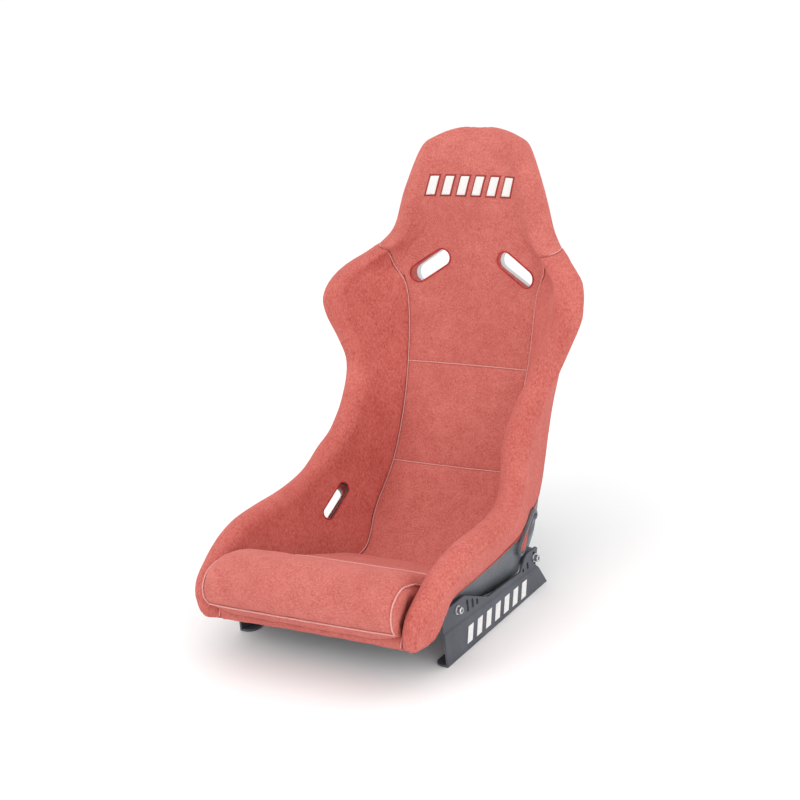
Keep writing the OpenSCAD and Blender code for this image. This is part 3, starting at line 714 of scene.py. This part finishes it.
# ---------------------------------------------------------------- slots
# Radius of the round ends and straight run between their centres, in mm
LAP_DUCT, LAP_RECESS, LAP_BEAD = (12.0, 62), (20.5, 62), (12.2, 62)
SHOULDER_DUCT, SHOULDER_RECESS, SHOULDER_BEAD = (17.5, 60), (21, 62), (18.0, 60)
LAP_BEAD_R, SHOULDER_BEAD_R = 0.0014, 0.0018


def mat_rot(axis, degrees):
    return Matrix.Rotation(math.radians(degrees), 4, axis)


def shoulder_frame(side):
    """The shoulder slot's own frame: x along the slot, z out of the cover."""
    place = Matrix.Translation((side * 0.097, 0.441, 0.546))
    return place @ mat_rot("X", 90 - 11.6) @ mat_rot("Z", -side * 33)


def lap_frame(side, dip, sweep, tilt):
    m = (Matrix.Translation((0.222, 0.136, 0.125)) @ mat_rot("Z", sweep) @ mat_rot("Y", dip)
         @ mat_rot("Z", 90) @ mat_rot("X", 90) @ mat_rot("Z", tilt))
    return Matrix.Diagonal((side, 1, 1, 1)) @ m


def lap_duct(side):
    """The frame of the duct that the belt runs through, with z outwards."""
    return lap_frame(side, 29, 37.5, 42)


def lap_rim(side):
    """The frame of the bezel's face, outside the shell."""
    return lap_frame(side, 10, 8, 34)


def slot_outline(radius, run):
    """A closed slot outline in metres from a radius and a run in mm."""
    angles = [math.radians(t) for t in np.linspace(-90, 90, 20)]
    one = [(run / 2 + radius * math.cos(a), radius * math.sin(a)) for a in angles]
    two = [(-x, -y) for x, y in one]
    straight = 10
    out = []
    for part, (x1, y1) in ((one, two[0]), (two, one[0])):
        x0, y0 = part[-1]
        out += part
        out += [(x0 + (x1 - x0) * k / straight, y0 + (y1 - y0) * k / straight) for k in range(1, straight)]
    return np.array(out) * 0.001


def prism(outline, matrix, low, high):
    n = len(outline)
    verts = [matrix @ Vector((x, y, z)) for z in (low, high) for x, y in outline]
    faces = [(k, (k + 1) % n, n + (k + 1) % n, n + k) for k in range(n)]
    faces += [tuple(range(n - 1, -1, -1)), tuple(range(n, 2 * n))]
    return mesh_of("cutter", verts, faces)


def carved(mesh, cutters):
    """The mesh with each cutter taken away."""
    scene = bpy.context.scene
    o = bpy.data.objects.new("carved", mesh)
    scene.collection.objects.link(o)
    extra = []
    for cutter in cutters:
        c = bpy.data.objects.new("cutter", cutter)
        scene.collection.objects.link(c)
        extra.append(c)
        b = o.modifiers.new("cut", "BOOLEAN")
        b.operation, b.solver, b.object = "DIFFERENCE", "EXACT", c
    bpy.context.view_layer.update()
    made = bpy.data.meshes.new_from_object(o.evaluated_get(bpy.context.evaluated_depsgraph_get()))
    for x in [o] + extra:
        bpy.data.objects.remove(x)
    return made


def softened(mesh, where, times):
    """The mesh with the points that where() picks smoothed."""
    bm = bmesh.new()
    bm.from_mesh(mesh)
    picked = [v for v in bm.verts if where(v.co)]
    for _ in range(times):
        bmesh.ops.smooth_vert(bm, verts=picked, factor=0.5, use_axis_x=True, use_axis_y=True, use_axis_z=True)
    bm.to_mesh(mesh)
    bm.free()
    return mesh


def slot_bead(name, surface, outline, matrix, radius):
    """A bead round a slot where it meets the fabric, found by looking down the slot's axis."""
    axis = (matrix.to_3x3() @ Vector((0, 0, -1))).normalized()
    away = 0.2
    points = []
    for x, y in outline:
        start = matrix @ Vector((x, y, 0)) - axis * away
        hit = surface.ray_cast(start, axis, 0.5)
        points.append(np.array(hit[0] if hit[0] else start + axis * away))
    return tube(name, points, radius, "seat", EDGING, closed=True)


# ---------------------------------------------------------------- the padded pieces
SECTION_POINTS = 220
BACK_SHARE = 0.998   # a panel's back is this much narrower than its face


def panel_row(s, middle):
    """One row across the centre panel, in its own section, from seam to seam."""
    line = both_sides(row_at(s), np.linspace(-FACE_FROM, FACE_FROM, SECTION_POINTS))
    return along(line, spaced(along(line, None)[-1], middle))


def flat_back(s, section, height):
    """A panel row's back, flat at that height above the floor."""
    return stand(row_at(s), np.stack([section[:, 0] * BACK_SHARE, np.full(len(section), height)], -1))


def panel(name, s0, s1, rows_mid, cols_mid, node, crown, seed):
    """One flat-backed pad of the centre panel."""
    rows = stations_between(s0, s1, rows_mid)
    sections = [panel_row(s, cols_mid) for s in rows]
    front = np.array([stand(row_at(s), p) for s, p in zip(rows, sections)])
    back = np.array([flat_back(s, p, GAP if s >= SHELL_START else -SHELL_T) for s, p in zip(rows, sections)])
    front = shape_cover(front, False, crown, seed)
    verts = np.concatenate([front.reshape(-1, 3), back.reshape(-1, 3)])
    o = link(name, mesh_of(name, verts, solid_faces(len(rows), front.shape[1])), "seat", VELOUR)
    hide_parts(node)
    return o


BOLSTER_COLS = 56


def wing_row(s, side):
    """One row of a bolster or of the head's side: its face, and what it stands on."""
    r = row_at(s)
    v = np.linspace(FACE_FROM, 1.0, SECTION_POINTS)
    run = along(cover_line(r, v), None)
    v = np.interp(spaced(run[-1], BOLSTER_COLS, True, False), run, v)
    if abs(slide(s, FACE_FROM)) < 1e-4:
        b = behind_line(r, s)
        b = along(b, np.linspace(0, along(b, None)[-1], len(v)))
        return stand(r, cover_line(r, v) * [side, 1]), stand(r, b * [side, 1])
    face, back = [], []
    for k, x in enumerate(v):
        here = s + slide(s, x)
        r = row_at(here)
        b = behind_line(r, here)
        b = along(b, [along(b, None)[-1] * k / (len(v) - 1)])
        face.append(on_cover(here, x, side))
        back.append(stand(r, b * [side, 1])[0])
    return np.array(face), np.array(back)


def bolster_grids(s_rows, side):
    pairs = [wing_row(s, side) for s in s_rows]
    return np.array([p[0] for p in pairs]), np.array([p[1] for p in pairs])


def wear_of(points, where, reach):
    """1 at the given places, falling to 0 at that reach from them."""
    d = np.array([min((Vector(p) - Vector(w)).length for w in where) for p in points])
    return np.clip(1 - d / reach, 0, 1) ** 2


BOLSTER_SEEDS = {"left": 11, "right": 23}
surfaces = {}
for label, side in SIDES.items():
    rows = stations_between(0.0, NOTCH, 150)
    front, back = bolster_grids(rows, side)
    front = shape_cover(front, side < 0, 2.0, BOLSTER_SEEDS[label])
    verts = np.concatenate([front.reshape(-1, 3), back.reshape(-1, 3)])
    mesh = mesh_of("bolster_cover_" + label, verts, solid_faces(len(rows), front.shape[1]))
    surfaces[label] = tree_of_mesh(mesh)
    cutters = [prism(slot_outline(*LAP_DUCT), lap_duct(side), -0.09, 0.06),
               prism(slot_outline(*LAP_RECESS), lap_rim(side), -0.004, 0.05)]
    mesh = softened(mesh, lambda co: co.y < -0.20 and co.z < 0.112, 18)   # the lower front corner
    mesh = carved(mesh, cutters)
    o = link("bolster_cover_" + label, mesh, "seat", VELOUR_SIDE)
    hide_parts("bolster_" + label)
    co = np.array([v.co for v in o.data.vertices])
    crest = [tuple(on_cover(s, 0.62, side)) for s in np.linspace(2.2, 5.2, 12)]
    worn_layer(o, 0.30 * wear_of(co, crest, 0.05))
    from_inside = lap_duct(side) @ Matrix.Diagonal((1, 1, -1, 1))
    slot_bead("lap_slot_bead_" + label, surfaces[label], slot_outline(*LAP_BEAD), from_inside, LAP_BEAD_R)

for name, s0, s1, rm, cm, node, crown, seed in (
        ("front_lip_cover", 0.0, LIP_END, 6, 60, "front_lip_pad", 0.0, 31),
        ("lower_back_cover", PAN_SEAM, LOWER_SEAM, 40, 50, "lower_back_pad", 3.0, 37),
        ("middle_back_cover", LOWER_SEAM, UPPER_SEAM, 34, 50, "middle_back_pad", 3.5, 41)):
    o = panel(name, s0, s1, rm, cm, node, crown, seed)


HEAD_SEED = 53


def upper_cover():
    """Upper panel and head: one cover. Its middle runs on up from the panel, its wings start at the neck."""
    low_rows = stations_between(UPPER_SEAM, NECK_IN, 40, True, False)[:-1]
    high_rows = stations_between(NOTCH, LAST, 84, False, False)
    mid_cols = 50
    low_mid = [panel_row(s, mid_cols) for s in low_rows]
    front_low = np.array([stand(row_at(s), p) for s, p in zip(low_rows, low_mid)])
    back_low = np.array([flat_back(s, p, GAP) for s, p in zip(low_rows, low_mid)])
    front_high, back_high = [], []
    for s in high_rows:
        here = s + slide(s, FACE_FROM)
        r = row_at(here)
        mid = panel_row(here, mid_cols)
        left, left_back = wing_row(s, 1)
        right, right_back = wing_row(s, -1)
        front_high.append(np.concatenate([right[::-1][:-1], stand(r, mid), left[1:]]))
        flat = np.stack([mid[:, 0], np.full(len(mid), GAP if here <= SHELL_END else 0.0)], -1)
        back_high.append(np.concatenate([right_back[::-1][:-1], stand(r, flat), left_back[1:]]))
    front_high, back_high = np.array(front_high), np.array(back_high)
    cols = front_high.shape[1]
    first = (cols - front_low.shape[1]) // 2
    whole = np.concatenate([front_low, front_high[:, first:first + front_low.shape[1]]])
    n_mid = normals_of(whole)
    n_high = normals_of(front_high)
    n_high[:, first:first + front_low.shape[1]] = n_mid[len(low_rows):]

    def shaped(grid, n):
        flat = grid.reshape(-1, 3)
        d = distances(MAIN_SEAMS, flat)
        slow = 0.5 * ripple(flat, 22.0, HEAD_SEED) * np.clip(d / 20.0, 0, 1)
        return grid + n * ((crowned(d, 2.5) + slow - seam_drop(d)) * 0.001).reshape(grid.shape[:2] + (1,))

    grids = (shaped(front_low, n_mid[:len(low_rows)]), shaped(front_high, n_high), back_low, back_high)
    verts = np.concatenate([g.reshape(-1, 3) for g in grids])
    nl, cl = len(low_rows), front_low.shape[1]
    nh = len(high_rows)
    # where each grid's points start: a is the face, b the back
    a_low, a_high = 0, nl * cl
    b_low = a_high + nh * cols
    b_high = b_low + nl * cl
    faces = [tuple(f) for f in grid_faces(nl, cl, a_low)] + [tuple(f) for f in grid_faces(nh, cols, a_high)]
    faces += [tuple(f[::-1]) for f in grid_faces(nl, cl, b_low)]
    faces += [tuple(f[::-1]) for f in grid_faces(nh, cols, b_high)]
    for j in range(cl - 1):
        a, b = a_low + (nl - 1) * cl + j, a_high + first + j
        faces.append((a, a + 1, b + 1, b))
        a, b = b_low + (nl - 1) * cl + j, b_high + first + j
        faces.append((a, b, b + 1, a + 1))
    # once round the outline, up the right side and down the left
    rim = [(a_low + i * cl, b_low + i * cl) for i in range(nl)]
    rim += [(a_high + j, b_high + j) for j in range(first, -1, -1)]
    rim += [(a_high + i * cols, b_high + i * cols) for i in range(1, nh)]
    rim += [(a_high + (nh - 1) * cols + j, b_high + (nh - 1) * cols + j) for j in range(1, cols)]
    rim += [(a_high + i * cols + cols - 1, b_high + i * cols + cols - 1) for i in range(nh - 2, -1, -1)]
    rim += [(a_high + j, b_high + j) for j in range(cols - 2, first + cl - 2, -1)]
    rim += [(a_low + i * cl + cl - 1, b_low + i * cl + cl - 1) for i in range(nl - 1, -1, -1)]
    rim += [(a_low + j, b_low + j) for j in range(cl - 2, 0, -1)]
    for (a, b), (c, d) in zip(rim, rim[1:] + rim[:1]):
        faces.append((a, c, d, b))
    return softened(mesh_of("head_cover", verts, faces), lambda co: co.z > 0.798, 30)   # the very top


head_mesh = upper_cover()
surfaces["head"] = tree_of_mesh(head_mesh)
cutters = []
for side in SIDES.values():
    cutters += [prism(slot_outline(*SHOULDER_DUCT), shoulder_frame(side), -0.02, 0.09),
                prism(slot_outline(*SHOULDER_RECESS), shoulder_frame(side), -0.02, 0.012)]
head = link("head_cover", carved(head_mesh, cutters), "seat", VELOUR)
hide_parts("head_pad", "upper_back_pad")
for label, side in SIDES.items():
    outline = slot_outline(*SHOULDER_BEAD)
    slot_bead("shoulder_slot_bead_" + label, surfaces["head"], outline, shoulder_frame(side), SHOULDER_BEAD_R)

# ---------------------------------------------------------------- fabric sleeves through the lap belt slots
# radius in mm and place along the duct in metres: out along its wall, over the rolled lip and back inside
SLEEVE = ((10.8, -0.034), (10.8, 0.002), (10.4, 0.0032), (9.9, 0.0034), (9.5, 0.0028), (9.4, 0.0), (9.4, -0.034))
for label, side in SIDES.items():
    rings = [slot_outline(radius, LAP_DUCT[1]) for radius, z in SLEEVE]
    verts = [lap_duct(side) @ Vector((x, y, z)) for ring, (radius, z) in zip(rings, SLEEVE) for x, y in ring]
    faces = ring_faces(len(rings), len(rings[0]), True)
    link("lap_sleeve_" + label, mesh_of("lap_sleeve_" + label, verts, faces), "seat", VELOUR_SIDE)

# ---------------------------------------------------------------- seam piping
for label in SIDES:
    neck = SEAMS.pop("neck_" + label)
    SEAMS["panel_" + label] = np.concatenate([SEAMS["panel_" + label], neck])
STEP = 0.004
for key, line in SEAMS.items():
    # each bead is sunk a little below the cover's own surface, away from the seat's inside
    sink, radius, mat = (0.0004, 0.0007, VELOUR_SIDE) if key.startswith("rim") else (0.0012, 0.0012, PIPING)
    points = []
    for p in smooth_line(resample(line, STEP), 24 if key.startswith("panel") else 3):
        inside = np.array([0.0, -0.15, p[2] + 0.12 if p[2] > 0.2 else 0.5]) - p
        inside /= np.linalg.norm(inside)
        points.append(p - inside * sink)
    tube("seam_" + key, points, radius, "seat", mat)

# ---------------------------------------------------------------- seat cushion
# station, height, half width at the foot, half width at the top
CUSHION = np.array([
    [0.80, 46, 203, 208], [1.00, 70, 205, 212], [1.25, 88, 204, 213], [1.60, 101, 198, 213],
    [2.00, 104, 194, 210], [2.50, 92, 190, 205], [3.00, 69, 186, 195], [3.50, 51, 179, 184],
    [4.00, 40, 166, 170], [4.30, 36, 156, 159], [4.50, 30, 149, 151], [4.58, 22, 146, 146],
])


def cushion_row(s):
    return [np.interp(s, CUSHION[:, 0], CUSHION[:, k]) for k in (1, 2, 3)]


def cushion_point(s, c, share=1.0):
    """A point on the cushion's top: c runs from -1 to 1 across, share scales the height."""
    h, foot, top = cushion_row(s)
    rise = (1 - abs(0.99 * c) ** 7) ** (1 / 7)
    low = 5.6
    return stand(row_at(s), [[c * (foot + (top - foot) * rise), low + (h * share - low) * rise]])[0]


def underside(s, c):
    """A point on the cushion's underside, which is raised over the front lip's pad."""
    height = 4.4 + 8.6 * (1 - ramp((s - LIP_END) / 0.3))
    return stand(row_at(s), [[c * cushion_row(s)[1], height]])[0]


def cushion_mesh():
    """The cushion before it swells, a little narrower and lower than it ends up."""
    rows = np.concatenate([[0.80, 0.82, 0.86], np.linspace(0.92, 4.5, 60), [4.54, 4.58]])
    cols = 0.986 * np.sin(np.linspace(-1, 1, 61) * math.pi / 2)
    top = np.array([[cushion_point(s, c, 0.97) for c in cols] for s in rows])
    low = np.array([[underside(s, c) for c in cols] for s in rows])
    verts = np.concatenate([top.reshape(-1, 3), low.reshape(-1, 3)])
    return mesh_of("cushion", verts, solid_faces(len(rows), len(cols)))


SWELL_CAP, SWELL_FRAMES, VOXEL = 0.006, 20, 0.005


def swell(mesh, cap):
    """Voxel remesh, inflate with cloth pressure, and stop each point after cap metres."""
    scene = bpy.context.scene
    o = bpy.data.objects.new("swell", mesh)
    scene.collection.objects.link(o)
    rm = o.modifiers.new("remesh", "REMESH")
    rm.mode, rm.voxel_size = "VOXEL", VOXEL
    bpy.context.view_layer.update()
    base = bpy.data.meshes.new_from_object(o.evaluated_get(bpy.context.evaluated_depsgraph_get()))
    o.modifiers.clear()
    o.data = base
    rest = np.array([v.co for v in base.vertices])
    cloth = o.modifiers.new("cloth", "CLOTH")
    cloth.settings.use_pressure = True
    cloth.settings.uniform_pressure_force = 4.0
    cloth.settings.effector_weights.gravity = 0.0
    cloth.settings.quality = 4
    cloth.settings.tension_stiffness = 12
    cloth.settings.compression_stiffness = 12
    cloth.settings.bending_stiffness = 0.4
    cloth.point_cache.frame_start, cloth.point_cache.frame_end = 1, SWELL_FRAMES
    for f in range(1, SWELL_FRAMES + 1):
        scene.frame_set(f)
    moved = np.array([v.co for v in o.evaluated_get(bpy.context.evaluated_depsgraph_get()).data.vertices])
    scene.frame_set(1)
    o.modifiers.clear()
    d = moved - rest
    length = np.linalg.norm(d, axis=1, keepdims=True)
    d *= np.minimum(1, cap / np.maximum(length, 1e-9))
    base.vertices.foreach_set("co", (rest + d).astype(np.float32).ravel())
    base.update()
    out = o.data
    bpy.data.objects.remove(o)
    return out


def nearest_on(tree, points):
    """The nearest surface point to each, and its normal."""
    hits = [tree.find_nearest(Vector(p)) for p in points]
    return np.array([h[0] for h in hits]), np.array([h[1] for h in hits])


mesh = cushion_mesh()
mesh = swell(mesh, SWELL_CAP)

# the cushion's seams: along both top edges, low across the front roll, behind the roll and at the rear
EDGE_C = 0.97
cushion_lines = {}
for label, side in SIDES.items():
    cushion_lines["top_" + label] = [cushion_point(s, side * EDGE_C) for s in np.linspace(0.83, 4.4, 90)]
for key, s in (("front_low", 0.83), ("rear", 4.40), ("cross", 3.35)):
    cushion_lines[key] = [cushion_point(s, c) for c in np.linspace(-EDGE_C, EDGE_C, 60)]
tree = tree_of_mesh(mesh)
snapped = {}
for key, line in cushion_lines.items():
    p, _ = nearest_on(tree, resample(np.array(line), STEP))
    snapped[key] = smooth_line(p, 4)
lines_tree = tree_of_lines(list(snapped.values()))
co = np.array([v.co for v in mesh.vertices])
out = np.array([v.normal for v in mesh.vertices])
d = distances(lines_tree, co)
co = co - out * ((2.2 * np.exp(-(d / 4.0) ** 2) + 1.6 * np.exp(-(d / 16.0) ** 2)) * 0.001)[:, None]
co = co + out * (0.0009 * ripple(co, 26.0, 71))[:, None]
mesh.vertices.foreach_set("co", co.astype(np.float32).ravel())
mesh.update()
cushion = link("cushion_cover", mesh, "cushion", VELOUR_CUSHION)
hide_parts("seat_cushion")
sub = cushion.modifiers.new("smooth", "SUBSURF")
sub.levels = sub.render_levels = 1
thighs = [(x, y, 0.14) for x in (-0.1, 0, 0.1) for y in (-0.28, -0.24)]
worn_layer(cushion, 0.25 * wear_of(co, thighs, 0.09))
for key in ("top_left", "top_right", "front_low", "cross"):
    p, n = nearest_on(tree, snapped[key])
    tube("cushion_piping_" + key, p - n * 0.0012, 0.0016, "cushion", PIPING)

# ---------------------------------------------------------------- emblem: a row of slanted embroidered bars
def on_head(x, z, lift):
    """The head cover's surface at x and z, seen from the front, raised by lift."""
    hit = surfaces["head"].ray_cast(Vector((x, 0.2, z)), Vector((0, 1, 0)), 0.6)
    return np.array(hit[0]) + np.array(hit[1]) * lift


def bar(name, x, z, width, height, slant, lift, mat):
    """A raised patch that follows the cover, with a rounded edge."""
    nx, nz = 10, 16
    us, ws = np.linspace(-1, 1, nx), np.linspace(-1, 1, nz)
    top, low = [], []
    for w in ws:
        for u in us:
            px, pz = x + u * width / 2 + w * slant / 2, z + w * height / 2
            edge = (1 - abs(u) ** 6) ** (1 / 6) * (1 - abs(w) ** 10) ** (1 / 10)
            top.append(on_head(px, pz, 0.0002 + lift * max(edge, 0.0)))
            low.append(on_head(px, pz, -0.0006))
    return link(name, mesh_of(name, np.array(top + low), solid_faces(nz, nx)), "seat", mat)


BARS, PITCH, EMBLEM_Z = 6, 0.034, 0.712
for k in range(BARS):
    x = (k - (BARS - 1) / 2) * PITCH
    bar("emblem_border_%d" % (k + 1), x, EMBLEM_Z, 0.0255, 0.0435, 0.013, 0.0008, DARK_RED)
    bar("emblem_bar_%d" % (k + 1), x, EMBLEM_Z, 0.0205, 0.0385, 0.0115, 0.0018, EMBLEM)

# ---------------------------------------------------------------- floor, light, camera
scene = bpy.context.scene
FAR = 30
corners = [(-FAR, -FAR, 0), (FAR, -FAR, 0), (FAR, FAR, 0), (-FAR, FAR, 0)]
floor_mesh = mesh_of("floor", corners, [(0, 1, 2, 3)])
floor = bpy.data.objects.new("floor", floor_mesh)
scene.collection.objects.link(floor)
m = Nodes("floor_pale")
tone = m.noise(3.0, 2.0)
m.colour((m.ramp(tone, "Fac", [(0.3, srgb(250, 250, 250)), (0.7, srgb(251, 251, 251))]), "Color"))
m.rough(tone, "Fac", 0.7, 0.85)
m.set(Specular_IOR_Level=0.1)
floor_mesh.materials.append(m.mat)
floor.location.z = -0.0005

world = bpy.data.worlds.new("studio")
scene.world = world
world.use_nodes = True
background = world.node_tree.nodes["Background"]
background.inputs["Color"].default_value = grey(1.0)
background.inputs["Strength"].default_value = 1.05


def area(name, at, look, size, power):
    light = bpy.data.lights.new(name, "AREA")
    light.shape, light.size, light.energy = "SQUARE", size, power
    o = bpy.data.objects.new(name, light)
    scene.collection.objects.link(o)
    o.location = at
    o.rotation_mode = "QUATERNION"
    o.rotation_quaternion = (Vector(look) - Vector(at)).to_track_quat("-Z", "Y")


area("key", (-1.6, -2.6, 2.6), (0, 0.1, 0.4), 1.6, 18)
area("fill", (3.0, -1.4, 1.4), (0, 0.1, 0.35), 2.0, 20)
area("top", (0.2, 0.4, 3.2), (0, 0.2, 0.4), 2.0, 10)

camera = bpy.data.cameras.new("camera")
cam = bpy.data.objects.new("camera", camera)
scene.collection.objects.link(cam)
# the camera's own right, up and backward directions
AXES = ((0.8477, 0.5190, -0.1095), (-0.0835, 0.3344, 0.9387), (0.5238, -0.7866, 0.3268))
turn = Matrix(AXES).transposed().to_4x4()
cam.matrix_world = Matrix.Translation((1.949, -2.827, 1.599)) @ turn
camera.lens, camera.sensor_width = 88.67, 36.0
camera.clip_start, camera.clip_end = 0.05, 100.0
scene.camera = cam
scene.view_settings.view_transform = "Standard"
